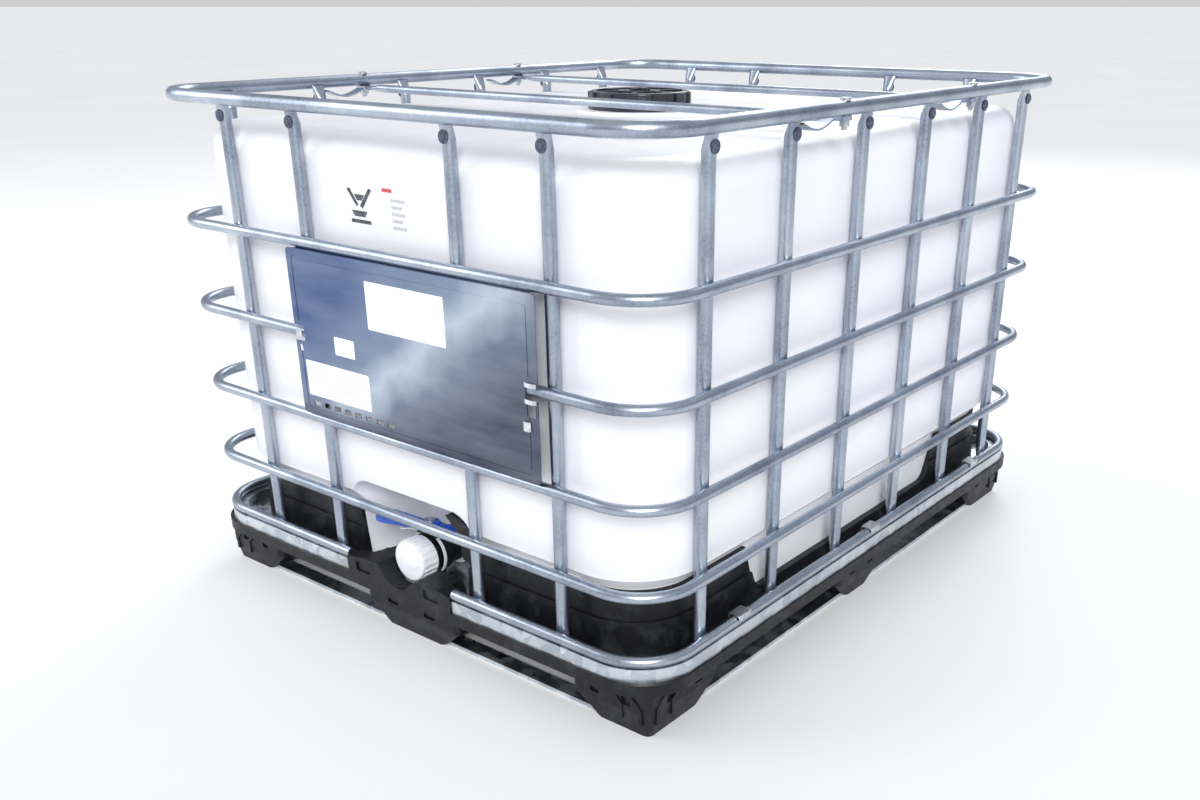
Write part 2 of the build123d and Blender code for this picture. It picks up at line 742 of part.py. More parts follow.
def valve_stem():
    """Upright shaft from the lower pivot through the disc to the lever."""
    bottom = AXIS_Z - OUTLET_BORE - 3.8
    with BuildPart() as stem:
        with BuildSketch(Plane.XY.offset(bottom)):
            with Locations((0, STEM_Y)):
                Circle(STEM_R)
        extrude(amount=LEVER_BOTTOM + LEVER_THICK + 3.0 - bottom)
        with Locations((0, STEM_Y, LEVER_BOTTOM + LEVER_THICK)):
            Cylinder(2.5, 24.0, mode=Mode.SUBTRACT)
    return stem


def valve_lever():
    """Flat two-armed lever: long grip to the left, short arm to the right."""
    top = LEVER_BOTTOM + LEVER_THICK
    with BuildPart() as lever:
        with BuildSketch(Plane.XY.offset(LEVER_BOTTOM)):
            with BuildLine():
                Polyline(
                    (-98.0, STEM_Y - 15.0),
                    (-84.0, STEM_Y - 19.0),
                    (-22.0, STEM_Y - 11.0),
                    (0.0, STEM_Y - 17.0),
                    (22.0, STEM_Y - 11.0),
                    (52.0, STEM_Y - 14.0),
                    (58.0, STEM_Y - 9.0),
                    (58.0, STEM_Y + 9.0),
                    (52.0, STEM_Y + 14.0),
                    (22.0, STEM_Y + 11.0),
                    (0.0, STEM_Y + 17.0),
                    (-22.0, STEM_Y + 11.0),
                    (-84.0, STEM_Y + 19.0),
                    (-98.0, STEM_Y + 15.0),
                    close=True,
                )
            make_face()
        extrude(amount=LEVER_THICK)
        fillet(lever.edges().filter_by(Axis.Z), 4.0)
        # raised hub
        with BuildSketch(Plane.XY.offset(LEVER_BOTTOM)):
            with Locations((0, STEM_Y)):
                Circle(16.0)
        extrude(amount=LEVER_THICK + 5.0)
        fillet(lever.edges().group_by(Axis.Z)[-1], 2.5)
        # turned-down lip under the long grip
        with Locations((-90.0, STEM_Y, LEVER_BOTTOM - 1.9)):
            Box(12.0, 22.0, 3.8)
        # finger groove along the top
        with BuildSketch(Plane.XY.offset(top - 2.0)):
            with Locations((-56.0, STEM_Y)):
                SlotOverall(56.0, 12.0)
            with Locations((36.0, STEM_Y)):
                SlotOverall(26.0, 10.0)
        extrude(amount=2.0, mode=Mode.SUBTRACT)
        with Locations((0, STEM_Y, top)):
            Cylinder(STEM_R, 60.0, mode=Mode.SUBTRACT)
    # the grip stands a little forward of square
    pivot = Axis((0, STEM_Y, 0), (0, 0, 1))
    with BuildPart() as turned:
        add(lever.part.rotate(pivot, LEVER_TURN))
    return turned


def lever_screw():
    """Screw with a wide washer head that holds the lever on the stem."""
    seat = LEVER_BOTTOM + LEVER_THICK + 5.0
    with BuildPart() as screw:
        with BuildSketch(Plane.XY.offset(seat)):
            with Locations((0, STEM_Y)):
                Circle(9.0)
        extrude(amount=3.0)
        with BuildSketch(Plane.XY.offset(seat - 14.0)):
            with Locations((0, STEM_Y)):
                Circle(2.5)
        extrude(amount=14.0)
        with BuildSketch(Plane.XY.offset(seat + 1.5)):
            with Locations((0, STEM_Y)):
                RegularPolygon(3.5, 6)
        extrude(amount=1.5, mode=Mode.SUBTRACT)
    return screw


def outlet_cap():
    """Screw cap on the spout with grip ribs round it and a pull bar across its face."""
    with BuildPart() as cap:
        with BuildSketch(along_y(0, AXIS_Z, BODY_END - 1.0)):
            Circle(OUTLET_CAP_R - 1.5)
        extrude(amount=BODY_END - 1.0 - CAP_FRONT - 3.0)
        fillet(cap.faces().sort_by(Axis.Y)[0].edges(), 3.0)
        with BuildSketch(along_y(0, AXIS_Z, BODY_END - 3.0)):
            with PolarLocations(OUTLET_CAP_R - 2.5, 20):
                RectangleRounded(5.0, 5.0, 1.0)
        extrude(amount=BODY_END - 3.0 - CAP_FRONT - 8.0)
        with BuildSketch(along_y(0, AXIS_Z, CAP_FRONT + 3.0)):
            RectangleRounded(46.0, 9.0, 3.0)
        extrude(amount=3.0)
        with BuildSketch(along_y(0, AXIS_Z, BODY_END)):
            Circle(29.4)
        extrude(amount=BODY_END - SPOUT_END + 2.6, mode=Mode.SUBTRACT)
    return cap


def outlet_seal():
    """Rubber ring between the spout end and the outlet cap."""
    with BuildPart() as ring:
        with BuildSketch(along_y(0, AXIS_Z, SPOUT_END - 0.2)):
            Circle(28.6)
            Circle(20.0, mode=Mode.SUBTRACT)
        extrude(amount=2.2)
    return ring


def valve_guard():
    """Moulded guard at the front edge: two cheeks with a round notch for the cap."""
    with BuildPart() as guard:
        with BuildSketch(along_y(0, 0, -572.0)) as front:
            with BuildLine():
                Polyline(
                    (-VALVE_GAP + 0.5, BEAM_TOP),
                    (VALVE_GAP - 0.5, BEAM_TOP),
                    (VALVE_GAP - 0.5, 112.0),
                    (92.0, 116.0),
                    (44.0, 116.0),
                    (30.0, 106.0),
                    (-30.0, 106.0),
                    (-44.0, 120.0),
                    (-78.0, 120.0),
                    (-VALVE_GAP + 0.5, 113.0),
                    close=True,
                )
            make_face()
            with Locations((0, AXIS_Z)):
                Circle(OUTLET_CAP_R + 2.6, mode=Mode.SUBTRACT)
        extrude(amount=28.0)
        with BuildSketch(along_y(0, 0, -548.0)):
            with BuildLine():
                Polyline((44.0, 92.0), (100.0, 92.0), (92.0, 116.0), (44.0, 116.0), close=True)
            make_face()
            with BuildLine():
                Polyline((-44.0, 92.0), (-100.0, 92.0), (-78.0, 120.0), (-44.0, 120.0), close=True)
            make_face()
        extrude(amount=24.0)
        # sunken panels in the front of each cheek
        with BuildSketch(along_y(0, 0, -DEPTH / 2 + 3.0)):
            with Locations((76.0, 101.0), (-80.0, 102.0)):
                RectangleRounded(34.0, 16.0, 4.0)
        extrude(amount=3.0, mode=Mode.SUBTRACT)
    return guard


# ---- build and write every piece ----------------------------------------------------
bolts, bolt_spots = foot_bolts()
save(bolts, "deck_bolts")

with BuildPart() as base:
    add(pallet_base().part)
    with Locations(*[(x, y, BEAM_TOP) for x, y in bolt_spots]):
        Cylinder(3.0, 24.0, mode=Mode.SUBTRACT)
save(base, "pallet_base")

with BuildPart() as deck:
    add(deck_plate().part)
    with Locations(*[(x, y, BEAM_TOP) for x, y in bolt_spots]):
        Cylinder(3.0, 24.0, mode=Mode.SUBTRACT)
    with BuildSketch(Plane.XY.offset(DECK_TOP)):
        with Locations(*bolt_spots):
            Circle(8.0)
    extrude(amount=5.0, mode=Mode.SUBTRACT)
save(deck, "deck_plate")

save(pallet_band(), "pallet_band")
save(runner_ring(0.0), "ground_runners")

for side, sx in (("left", -1), ("right", 1)):
    for end, sy in (("front", -1), ("rear", 1)):
        x = sx * ((WIDTH - FOOT_X) / 2 - FOOT_INSET)
        y = sy * ((DEPTH - FOOT_Y) / 2 - FOOT_INSET)
        save(tapered_foot(x, y, FOOT_X, FOOT_Y, sx, sy), "corner_foot_" + end + "_" + side)
    x = sx * ((WIDTH - FOOT_X) / 2 - FOOT_INSET)
    save(tapered_foot(x, 0.0, FOOT_X, MIDDLE_FOOT, sx, 0), "middle_foot_" + side)
y = (DEPTH - FOOT_Y) / 2 - FOOT_INSET
save(tapered_foot(0.0, -y, VALVE_FOOT, FOOT_Y, 0, -1), "middle_foot_front")
save(tapered_foot(0.0, y, MIDDLE_FOOT, FOOT_Y, 0, 1), "middle_foot_rear")
save(tapered_foot(0.0, 0.0, MIDDLE_FOOT, MIDDLE_FOOT, 0, 0), "centre_foot")

rim = loop_tube(CAGE_X, CAGE_Y, CAGE_CORNER, RIM_Z, RIM_R)
rail = bottom_rail()
rings = [loop_tube(CAGE_X, CAGE_Y, CAGE_CORNER, z, RING_R) for z in RING_Z]
loops = [rim.part, rail.part] + [ring.part for ring in rings]

for number, ring in enumerate(rings, start=1):
    save(ring, "cage_ring_" + str(number))
save(rail, "cage_bottom_rail")

for number, x in enumerate(FRONT_UPRIGHT_X, start=1):
    for end, sy in (("front", -1), ("rear", 1)):
        piece = upright(x, sy * (CAGE_Y - NEST), (0, sy), loops)
        save(piece, "upright_" + end + "_" + str(number))
for number, y in enumerate(SIDE_UPRIGHT_Y, start=1):
    for side, sx in (("left", -1), ("right", 1)):
        piece = upright(sx * (CAGE_X - NEST), y, (sx, 0), loops)
        save(piece, "upright_" + side + "_" + str(number))

rim_bolts = crossbar_bolts()
with BuildPart() as drilled_rim:
    add(rim.part)
    add(rim_bolts.part, mode=Mode.SUBTRACT)
save(drilled_rim, "cage_top_rim")
save(rim_bolts, "crossbar_bolts")
save(crossbars(), "crossbars")
save(cage_clamps(), "cage_clamps")
save(label_plate(), "label_plate")
save(plate_labels(), "plate_labels")

save(bottle(), "bottle")
save(fill_neck(), "fill_neck")
save(bottle_tray(), "bottle_tray")
save(fill_cap(), "fill_cap")
save(cap_gasket(), "fill_cap_gasket")
save(vent_plug(), "vent_plug")

save(valve_nut(), "valve_nut")
save(valve_body(), "valve_body")
save(valve_disc(), "valve_disc")
save(valve_stem(), "valve_stem")
save(valve_lever(), "valve_lever")
save(lever_screw(), "lever_screw")
save(outlet_cap(), "outlet_cap")
save(outlet_seal(), "outlet_cap_seal")
save(valve_guard(), "valve_guard")
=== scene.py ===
import json
import math
import random

import bmesh
import bpy
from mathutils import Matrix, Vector


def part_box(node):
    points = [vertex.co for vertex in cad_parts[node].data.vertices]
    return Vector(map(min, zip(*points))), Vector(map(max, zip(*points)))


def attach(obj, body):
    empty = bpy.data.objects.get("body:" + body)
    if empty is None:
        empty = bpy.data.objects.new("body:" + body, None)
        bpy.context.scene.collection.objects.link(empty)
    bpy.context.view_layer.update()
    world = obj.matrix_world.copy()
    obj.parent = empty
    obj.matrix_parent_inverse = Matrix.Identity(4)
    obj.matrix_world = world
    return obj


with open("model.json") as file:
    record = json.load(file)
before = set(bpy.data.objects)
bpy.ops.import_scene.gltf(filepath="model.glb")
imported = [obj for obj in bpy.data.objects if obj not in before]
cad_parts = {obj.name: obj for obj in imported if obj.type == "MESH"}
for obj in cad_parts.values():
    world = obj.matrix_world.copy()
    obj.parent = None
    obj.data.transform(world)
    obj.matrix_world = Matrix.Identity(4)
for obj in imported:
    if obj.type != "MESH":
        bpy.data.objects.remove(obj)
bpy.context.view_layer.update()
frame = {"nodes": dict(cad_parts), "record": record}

nodes = frame["nodes"]

# ---- sizes in metres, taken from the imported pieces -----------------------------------
RING_NAMES = ["cage_ring_1", "cage_ring_2", "cage_ring_3", "cage_ring_4"]
UPRIGHTS = [name for name in nodes if name.startswith("upright_")]
PLATE_LOW, PLATE_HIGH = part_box("label_plate")
VALVE_AXIS_Z = 0.127
CROSSBARS = (-0.178, 0.216)
RIVET_Z = 0.762
FRONT_WELD_Y = 0.5825
SIDE_WELD_X = 0.4825
WELD_OFFSET = 0.0095
WELD_SIZE = (0.0045, 0.0032, 0.0038)
STRAP_X = 0.476
STRAP_TOP = 0.7735
STRAP_LENGTH = 0.075
STRAP_SAG = 0.010
TIE_RADIUS = 0.0350
TIE_WIDTH = 0.0046
TIE_THICK = 0.0019
FLOOR_REACH = 300.0

# ---- viewpoint -----------------------------------------------------------------------
CAMERA_AT = (1.303, -1.624, 0.915)
CAMERA_YAW = 38.30
CAMERA_PITCH = 24.50
LENS_MM = 35.2
SHIFT_X = -0.041
SHIFT_Y = 0.113


# ---- node helpers --------------------------------------------------------------------
class Shade:
    """One Principled material and short calls for the nodes that feed it."""

    def __init__(self, name, **sockets):
        self.mat = bpy.data.materials.new(name)
        self.mat.use_nodes = True
        self.tree = self.mat.node_tree
        self.tree.nodes.clear()
        self.out = self.add("ShaderNodeOutputMaterial")
        self.bsdf = self.add("ShaderNodeBsdfPrincipled")
        self.tree.links.new(self.bsdf.outputs[0], self.out.inputs[0])
        for key, value in sockets.items():
            self.bsdf.inputs[key.replace("_", " ")].default_value = value
        self.coords = self.add("ShaderNodeTexCoord").outputs["Object"]

    def add(self, kind, **props):
        node = self.tree.nodes.new(kind)
        for key, value in props.items():
            setattr(node, key, value)
        return node

    def feed(self, node, **inputs):
        for key, value in inputs.items():
            socket = node.inputs[int(key[1:])] if key[1:].isdigit() else node.inputs[key.replace("_", " ")]
            if isinstance(value, bpy.types.NodeSocket):
                self.tree.links.new(value, socket)
            else:
                socket.default_value = value
        return node

    def stretch(self, x, y, z):
        node = self.feed(self.add("ShaderNodeMapping"), Vector=self.coords)
        node.inputs["Scale"].default_value = (x, y, z)
        return node.outputs[0]

    def noise(self, scale, detail=3.0, rough=0.55, coords=None):
        node = self.add("ShaderNodeTexNoise")
        self.feed(node, Vector=coords or self.coords, Scale=scale, Detail=detail, Roughness=rough)
        return node.outputs["Fac"]

    def cells(self, scale, feature="F1", coords=None, output="Distance", jitter=1.0):
        node = self.add("ShaderNodeTexVoronoi", feature=feature)
        self.feed(node, Vector=coords or self.coords, Scale=scale, Randomness=jitter)
        return node.outputs[output]

    def ramp(self, fac, *stops):
        node = self.add("ShaderNodeValToRGB")
        node.color_ramp.elements[0].position = stops[0][0]
        node.color_ramp.elements[0].color = rgba(stops[0][1])
        node.color_ramp.elements[1].position = stops[-1][0]
        node.color_ramp.elements[1].color = rgba(stops[-1][1])
        for place, colour in stops[1:-1]:
            node.color_ramp.elements.new(place).color = rgba(colour)
        self.tree.links.new(fac, node.inputs[0])
        return node.outputs[0]

    def math(self, op, a, b=0.0, clamp=False):
        node = self.add("ShaderNodeMath", operation=op, use_clamp=clamp)
        self.feed(node, _0=a, _1=b)
        return node.outputs[0]

    def span(self, fac, low, high, to_low=0.0, to_high=1.0):
        node = self.add("ShaderNodeMapRange")
        self.feed(node, Value=fac, From_Min=low, From_Max=high, To_Min=to_low, To_Max=to_high)
        return node.outputs[0]

    def mix(self, fac, a, b):
        node = self.add("ShaderNodeMix", data_type="RGBA")
        self.feed(node, _0=fac, _6=rgba(a), _7=rgba(b))
        return node.outputs[2]

    def axis(self, name):
        node = self.feed(self.add("ShaderNodeSeparateXYZ"), Vector=self.coords)
        return node.outputs[name]

    def bump(self, height, strength, distance, under=None):
        node = self.add("ShaderNodeBump")
        self.feed(node, Height=height, Strength=strength, Distance=distance)
        if under is not None:
            self.tree.links.new(under, node.inputs["Normal"])
        return node.outputs[0]

    def set(self, **inputs):
        self.feed(self.bsdf, **inputs)


def rgba(colour):
    if isinstance(colour, bpy.types.NodeSocket):
        return colour
    if isinstance(colour, (int, float)):
        return (colour, colour, colour, 1.0)
    return (*colour[:3], 1.0)


# ---- materials -----------------------------------------------------------------------
def bottle_plastic():
    """Natural white polyethylene: faint cloudiness, soft sheen, a little light inside."""
    m = Shade("bottle_white", Roughness=0.34, Subsurface_Weight=0.25, Subsurface_Scale=0.02, IOR=1.5)
    m.bsdf.inputs["Subsurface Radius"].default_value = (1.0, 0.95, 1.1)
    cloud = m.noise(3.2, 4.0)
    tint = m.ramp(cloud, (0.3, (0.83, 0.83, 0.90)), (0.7, (0.90, 0.90, 0.94)))
    dust = m.span(m.axis("Z"), 0.10, 0.34, 0.10, 0.0)
    speck = m.noise(160.0, 2.0)
    tint = m.mix(m.math("MULTIPLY", dust, speck), tint, (0.55, 0.53, 0.50))
    m.set(Base_Color=tint, Roughness=m.span(m.noise(14.0), 0.3, 0.7, 0.28, 0.42))
    ripple = m.bump(m.noise(5.0, 2.0), 0.25, 0.004)
    m.set(Normal=m.bump(m.noise(420.0, 2.0), 0.08, 0.0006, ripple))
    return m.mat


def tube_zinc():
    """Galvanised tube: bright zinc with long drawn streaks and dull patches."""
    m = Shade("tube_galvanised", Metallic=1.0)
    streak = m.noise(9.0, 5.0, 0.6)
    fine = m.noise(260.0, 3.0)
    base = m.ramp(streak, (0.30, (0.20, 0.24, 0.31)), (0.52, (0.36, 0.42, 0.50)), (0.72, (0.50, 0.56, 0.63)))
    base = m.mix(m.span(fine, 0.35, 0.7, 0.0, 0.22), base, (0.72, 0.77, 0.82))
    low = m.span(m.axis("Z"), 0.09, 0.2, 0.35, 0.0)
    base = m.mix(m.math("MULTIPLY", low, m.noise(40.0)), base, (0.30, 0.29, 0.28))
    m.set(Base_Color=base, Roughness=m.span(streak, 0.3, 0.7, 0.42, 0.26))
    m.set(Normal=m.bump(fine, 0.12, 0.0006))
    return m.mat


def sheet_zinc():
    """Hot-dip galvanised sheet with a spangled crystal pattern."""
    m = Shade("sheet_galvanised", Metallic=1.0)
    spangle = m.cells(55.0, output="Color")
    grey = m.feed(m.add("ShaderNodeSeparateColor"), _0=spangle).outputs[0]
    base = m.ramp(grey, (0.0, (0.46, 0.51, 0.57)), (0.5, (0.60, 0.65, 0.70)), (1.0, (0.76, 0.80, 0.84)))
    grime = m.span(m.noise(7.0, 5.0), 0.45, 0.75, 0.0, 0.4)
    base = m.mix(grime, base, (0.34, 0.34, 0.34))
    m.set(Base_Color=base, Roughness=m.span(grey, 0.0, 1.0, 0.26, 0.46))
    m.set(Normal=m.bump(grey, 0.06, 0.0008))
    return m.mat


def sign_steel():
    """Sign plate: blue-grey zinc sheet with a painted diagonal reflection band, painted shade along its lower edge,
    and raised ruled lines.
    """
    m = Shade("sign_plate", Metallic=0.8)
    x, z = m.axis("X"), m.axis("Z")
    rolled = m.noise(18.0, 4.0, coords=m.stretch(0.3, 1.0, 1.6))
    # painted reflection: a diagonal band of light across the plate, dark towards the lower left and the right,
    # wobbled a little by noise
    drift = m.span(m.noise(7.0, 3.0), 0.3, 0.7, -0.035, 0.035)
    painted_reflection_slant = m.math("ADD", m.math("SUBTRACT", z, m.math("MULTIPLY", x, 0.75)), drift)
    base = m.ramp(
        m.span(painted_reflection_slant, 0.22, 0.62),
        (0.0, (0.05, 0.065, 0.10)),
        (0.30, (0.16, 0.20, 0.28)),
        (0.46, (0.50, 0.57, 0.67)),
        (0.60, (0.20, 0.26, 0.37)),
        (1.0, (0.07, 0.12, 0.26)),
    )
    # painted shade: the plate darkens to near black along its lower edge
    base = m.mix(m.span(z, 0.345, 0.375, 0.8, 0.0), base, (0.04, 0.05, 0.08))
    base = m.mix(m.span(rolled, 0.35, 0.75, 0.0, 0.25), base, (0.50, 0.55, 0.64))
    m.set(Base_Color=base, Roughness=m.span(rolled, 0.3, 0.7, 0.34, 0.46))
    # ruled lines pressed into the upper left and the lower right of the sheet
    rows = m.math("LESS_THAN", m.math("FRACT", m.math("MULTIPLY", z, 62.0)), 0.40)
    dashes = m.math("GREATER_THAN", m.noise(70.0, 1.0, coords=m.stretch(0.6, 1.0, 0.2)), 0.44)
    upper = m.math("MULTIPLY", m.math("GREATER_THAN", z, 0.50), m.math("LESS_THAN", x, -0.03))
    lower = m.math("MULTIPLY", m.math("LESS_THAN", z, 0.46), m.math("GREATER_THAN", x, 0.04))
    where = m.math("MULTIPLY", m.math("ADD", upper, lower), m.math("MULTIPLY", rows, dashes))
    pressed = m.bump(where, 0.45, 0.0012)
    m.set(Normal=m.bump(m.noise(60.0, 3.0, coords=m.stretch(0.2, 1.0, 2.0)), 0.06, 0.001, pressed))
    return m.mat


def black_moulding(name, base, roughness, dusty):
    """Black moulded plastic: fine grain, scuffs and settled dust."""
    m = Shade(name)
    scuff = m.span(m.noise(26.0, 6.0, 0.7), 0.5, 0.74, 0.0, dusty)
    colour = m.mix(scuff, base, (0.055, 0.06, 0.075))
    m.bsdf.inputs["Specular IOR Level"].default_value = 0.35
    m.set(Base_Color=colour, Roughness=m.span(m.noise(60.0, 3.0), 0.3, 0.7, roughness, roughness + 0.18))
    grain = m.bump(m.cells(900.0), 0.18, 0.0005)
    m.set(Normal=m.bump(m.noise(34.0, 4.0), 0.15, 0.002, grain))
    return m.mat


def gloss_moulding(name, base, shade, roughness):
    """Smooth moulded plastic with slight flow marks."""
    m = Shade(name, Coat_Weight=0.25, Coat_Roughness=0.12)
    flow = m.noise(30.0, 3.0, coords=m.stretch(1.0, 1.0, 2.5))
    m.set(Base_Color=m.ramp(flow, (0.3, shade), (0.7, base)))
    m.set(Roughness=m.span(m.noise(90.0), 0.3, 0.7, roughness, roughness + 0.12))
    m.set(Normal=m.bump(m.noise(300.0, 2.0), 0.08, 0.0004))
    return m.mat


def rubber_seal():
    m = Shade("seal_rubber")
    m.set(Base_Color=m.ramp(m.noise(50.0), (0.3, (0.02, 0.02, 0.02)), (0.7, (0.05, 0.05, 0.05))))
    m.set(Roughness=m.span(m.noise(120.0), 0.3, 0.7, 0.7, 0.9))
    return m.mat


def sticker_paper():
    """White sticker stock with faint grey ruled bars standing in for print."""
    m = Shade("label_paper", Roughness=0.4)
    x, z = m.axis("X"), m.axis("Z")
    # ruled bars only on the low, left sticker
    rows = m.math("LESS_THAN", m.math("FRACT", m.math("MULTIPLY", z, 95.0)), 0.42)
    words = m.math("GREATER_THAN", m.noise(130.0, 1.0, coords=m.stretch(0.5, 1.0, 0.35)), 0.47)
    low_left = m.math("MULTIPLY", m.math("LESS_THAN", z, 0.418), m.math("LESS_THAN", x, -0.026))
    inside = m.math("MULTIPLY", low_left, m.math("GREATER_THAN", x, -0.154))
    ink = m.math("MULTIPLY", m.math("MULTIPLY", rows, words), inside)
    paper = m.ramp(m.noise(40.0), (0.3, (0.86, 0.88, 0.92)), (0.7, (0.93, 0.94, 0.97)))
    m.set(Base_Color=m.mix(m.math("MULTIPLY", ink, 0.45), paper, (0.35, 0.37, 0.42)))
    m.set(Normal=m.bump(m.noise(500.0, 2.0), 0.08, 0.0003))
    return m.mat


def zinc_hardware(name="hardware_zinc", gain=1.0):
    """Plated bolts, nuts and clips."""
    m = Shade(name, Metallic=1.0)
    worn = m.noise(120.0, 4.0)
    dull, clean = (0.40, 0.43, 0.46), (0.70, 0.73, 0.76)
    m.set(Base_Color=m.ramp(worn, (0.3, [gain * c for c in dull]), (0.7, [gain * c for c in clean])))
    m.set(Roughness=m.span(worn, 0.3, 0.7, 0.45, 0.28), Normal=m.bump(worn, 0.1, 0.0005))
    return m.mat


def ink(name, low, high):
    """Thin matt coat with a slightly worn colour."""
    m = Shade(name, Roughness=0.55)
    m.set(Base_Color=m.ramp(m.noise(240.0), (0.35, low), (0.6, high)))
    m.set(Normal=m.bump(m.noise(600.0, 2.0), 0.06, 0.0003))
    return m.mat


MATERIALS = {
    "bottle_white": bottle_plastic(),
    "cap_black": gloss_moulding("cap_black", (0.018, 0.022, 0.034), (0.010, 0.012, 0.020), 0.24),
    "valve_white": gloss_moulding("valve_white", (0.84, 0.86, 0.89), (0.74, 0.77, 0.82), 0.30),
    "lever_blue": gloss_moulding("lever_blue", (0.015, 0.13, 0.62), (0.008, 0.07, 0.42), 0.24),
    "seal_rubber": rubber_seal(),
    "label_paper": sticker_paper(),
    "sign_plate": sign_steel(),
    "pallet_black": black_moulding("pallet_black", (0.004, 0.004, 0.006), 0.36, 0.5),
    "valve_black": black_moulding("valve_black", (0.004, 0.004, 0.006), 0.30, 0.3),
    "hardware_zinc": zinc_hardware(),
    "sheet_galvanised": sheet_zinc(),
    "tube_galvanised": tube_zinc(),
}
INK = ink("print_ink", (0.03, 0.03, 0.04), (0.10, 0.10, 0.12))
GREY_INK = ink("print_grey", (0.42, 0.43, 0.48), (0.56, 0.57, 0.62))
RED_INK = ink("print_red", (0.45, 0.05, 0.04), (0.60, 0.12, 0.09))
# painted shade: near-black coat for the rivets and washers at the top of the uprights, standing in for the shadowed
# hole under the rim
PAINTED_SHADE_STEEL = ink("painted_shade_steel", (0.03, 0.04, 0.07), (0.08, 0.10, 0.15))
BRIGHT_STEEL = zinc_hardware("bright_steel", 1.25)

for part in frame["record"]["subparts"]:
    piece = nodes[part["node"]]
    piece.data.materials.clear()
    piece.data.materials.append(MATERIALS[part["material_slot"]])


# ---- mesh helpers --------------------------------------------------------------------
def new_piece(name, bm, material, body="container", smooth=True):
    """Turns a bmesh into a named piece that rides on a body."""
    mesh = bpy.data.meshes.new(name)
    bm.to_mesh(mesh)
    bm.free()
    piece = bpy.data.objects.new(name, mesh)
    bpy.context.scene.collection.objects.link(piece)
    mesh.materials.append(material)
    for face in mesh.polygons:
        face.use_smooth = smooth
    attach(piece, body)
    return piece


def blob(bm, centre, size, rng):
    """Uneven weld nugget."""
    made = bmesh.ops.create_icosphere(bm, subdivisions=2, radius=1.0)
    for v in made["verts"]:
        push = 1.0 + rng.uniform(-0.12, 0.12)
        v.co = Vector(centre) + Vector((v.co.x * size[0], v.co.y * size[1], v.co.z * size[2])) * push


# ---- cage welds ----------------------------------------------------------------------
def weld_nuggets():
    """A pair of nuggets in the crease wherever an upright meets a ring or the bottom rail."""
    rng = random.Random(7)
    bm = bmesh.new()
    heights = [sum((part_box(name)[0].z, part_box(name)[1].z)) / 2 for name in RING_NAMES + ["cage_bottom_rail"]]
    for name in UPRIGHTS:
        low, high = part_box(name)
        mid = (low + high) / 2
        front = name.startswith(("upright_front", "upright_rear"))
        for z in heights:
            for side in (-1, 1):
                if front:
                    y = math.copysign(FRONT_WELD_Y, mid.y)
                    blob(bm, (mid.x + side * WELD_OFFSET, y, z), WELD_SIZE, rng)
                else:
                    x = math.copysign(SIDE_WELD_X, mid.x)
                    blob(bm, (x, mid.y + side * WELD_OFFSET, z), (WELD_SIZE[1], WELD_SIZE[0], WELD_SIZE[2]), rng)
    return new_piece("cage_welds", bm, MATERIALS["tube_galvanised"])


weld_nuggets()


# ---- generic print on the bottle -----------------------------------------------------
def flat_marks(name, outlines, y, material):
    """Flat polygons in the X-Z plane, given as lists of (x, z)."""
    bm = bmesh.new()
    for outline in outlines:
        bm.faces.new([bm.verts.new((x, y, z)) for x, z in outline])
    return new_piece(name, bm, material, smooth=False)


def bar(x, z, wide, high):
    return [(x, z), (x + wide, z), (x + wide, z + high), (x, z + high)]


def bottle_print():
    """A few plain marks printed on the upper front of the bottle."""
    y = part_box("bottle")[0].y - 0.0004
    strokes = [
        [(-0.071, 0.678), (-0.052, 0.655), (-0.048, 0.659), (-0.065, 0.680)],
        [(-0.018, 0.680), (-0.040, 0.653), (-0.045, 0.657), (-0.024, 0.682)],
        [(-0.064, 0.650), (-0.030, 0.650), (-0.036, 0.642), (-0.058, 0.642)],
        [(-0.056, 0.672), (-0.034, 0.672), (-0.040, 0.664), (-0.050, 0.664)],
        [(-0.066, 0.638), (-0.024, 0.638), (-0.024, 0.633), (-0.066, 0.633)],
    ]
    flat_marks("print_strokes", strokes, y, INK)
    flat_marks("print_red", [bar(0.004, 0.680, 0.020, 0.005)], y, RED_INK)
    rows = [bar(0.021, 0.668 - 0.009 * row, 0.028 - 0.006 * (row % 2), 0.004) for row in range(5)]
    flat_marks("print_rows", rows, y, GREY_INK)


bottle_print()


# ---- small hardware ------------------------------------------------------------------
def turned(bm, centre, axis, profile, steps=20):
    """Closed solid turned from (radius, along) pairs about an axis through centre."""
    spin = Vector((0, 0, 1)).rotation_difference(Vector(axis)).to_matrix()
    rings = []
    for radius, along in profile:
        ring = []
        for k in range(steps):
            angle = math.tau * k / steps
            at = Vector((radius * math.cos(angle), radius * math.sin(angle), along))
            ring.append(bm.verts.new(Vector(centre) + spin @ at))
        rings.append(ring)
    for low, high in zip(rings, rings[1:]):
        for k in range(steps):
            n = (k + 1) % steps
            bm.faces.new([low[k], low[n], high[n], high[k]])
    bm.faces.new(rings[0][::-1])
    bm.faces.new(rings[-1])


RIVET = [(0.0052, -0.0005), (0.0052, 0.0008), (0.0040, 0.0022), (0.0014, 0.0026)]
WASHER = [(0.0085, -0.0008), (0.0085, 0.0004), (0.0078, 0.0008)]


def upright_rivets():
    """Rivet with a washer near the top of every upright, on its outer face; both take a near-black coat as painted
    shade for the shadowed hole under the rim.
    """
    washers, heads = bmesh.new(), bmesh.new()
    for name in UPRIGHTS:
        low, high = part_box(name)
        mid = (low + high) / 2
        if name.startswith(("upright_front", "upright_rear")):
            out = Vector((0, math.copysign(1, mid.y), 0))
            at = Vector((mid.x, high.y if mid.y > 0 else low.y, RIVET_Z))
        else:
            out = Vector((math.copysign(1, mid.x), 0, 0))
            at = Vector((high.x if mid.x > 0 else low.x, mid.y, RIVET_Z))
        turned(washers, at, out, WASHER)
        turned(heads, at + out * 0.0006, out, RIVET)
    # painted shade: washers and heads both take the near-black coat
    new_piece("rivet_washers", washers, PAINTED_SHADE_STEEL)
    new_piece("rivet_heads", heads, PAINTED_SHADE_STEEL)


upright_rivets()


